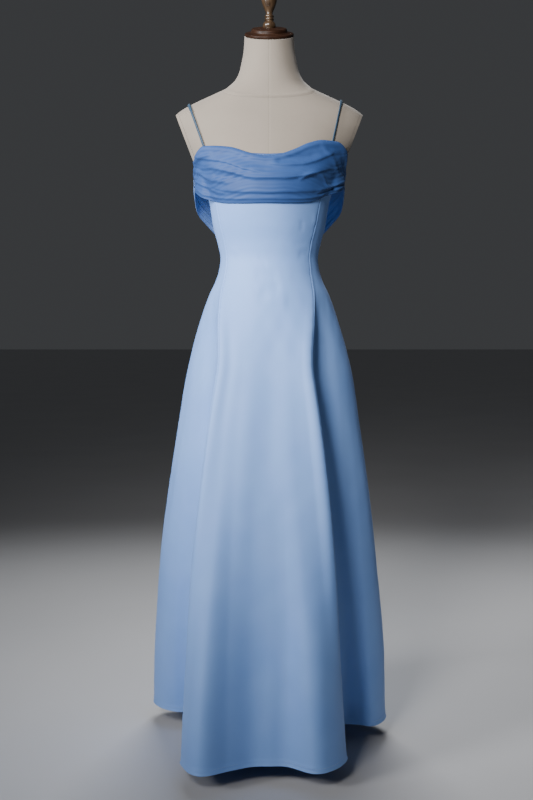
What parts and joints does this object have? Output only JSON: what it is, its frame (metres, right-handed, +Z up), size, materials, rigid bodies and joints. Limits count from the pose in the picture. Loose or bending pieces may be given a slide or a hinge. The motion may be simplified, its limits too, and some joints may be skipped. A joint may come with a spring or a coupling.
{
  "type": "maxi dress on a limbless dress form",
  "caption": "Floor-length A-line satin dress with a draped chiffon bust band, back cowl and thin straps, worn by a linen dress form on a round stand.",
  "frame": {"origin": "centre of the stand's underside, on the floor", "axes": "+Z up, the front faces -Y, +X is the wearer's left"},
  "size_m": [0.5527, 0.583, 1.7015],
  "materials": {
    "satin": "ice-blue duchess satin, soft sheen",
    "chiffon": "cornflower-blue chiffon in layers, matt",
    "strap_cloth": "steel-blue bias-cut straps",
    "linen": "natural linen cover, matt",
    "walnut": "dark polished walnut",
    "stand_metal": "black enamel, semi-gloss",
    "zip_metal": "small blued zip slider"
  },
  "bodies": {
    "gown_and_form": {"form_base": "stand_metal", "form_pole": "stand_metal", "form_torso": "linen", "form_neck": "linen", "form_arm_plate_right": "linen", "form_arm_plate_left": "linen", "form_neck_cap": "walnut", "form_finial": "walnut", "panel_front_centre": "satin", "panel_side_front_right": "satin", "panel_side_front_left": "satin", "panel_side_back_right": "satin", "panel_side_back_left": "satin", "panel_back_right": "satin", "panel_back_left": "satin", "neckline_binding": "chiffon", "front_drape": "chiffon", "back_drape": "chiffon", "strap_right": "strap_cloth", "strap_left": "strap_cloth", "zip_line": "satin", "zip_slider": "zip_metal"},
    "pull_tab": {"zip_pull": "zip_metal"}
  },
  "joints": [
    {"name": "pull_tab_swing", "type": "hinge", "parent": "gown_and_form", "child": "pull_tab", "pos_m": [0, 0.09868, 1.17827], "axis": [1, 0, 0], "range_deg": [0, 140]}
  ]
}
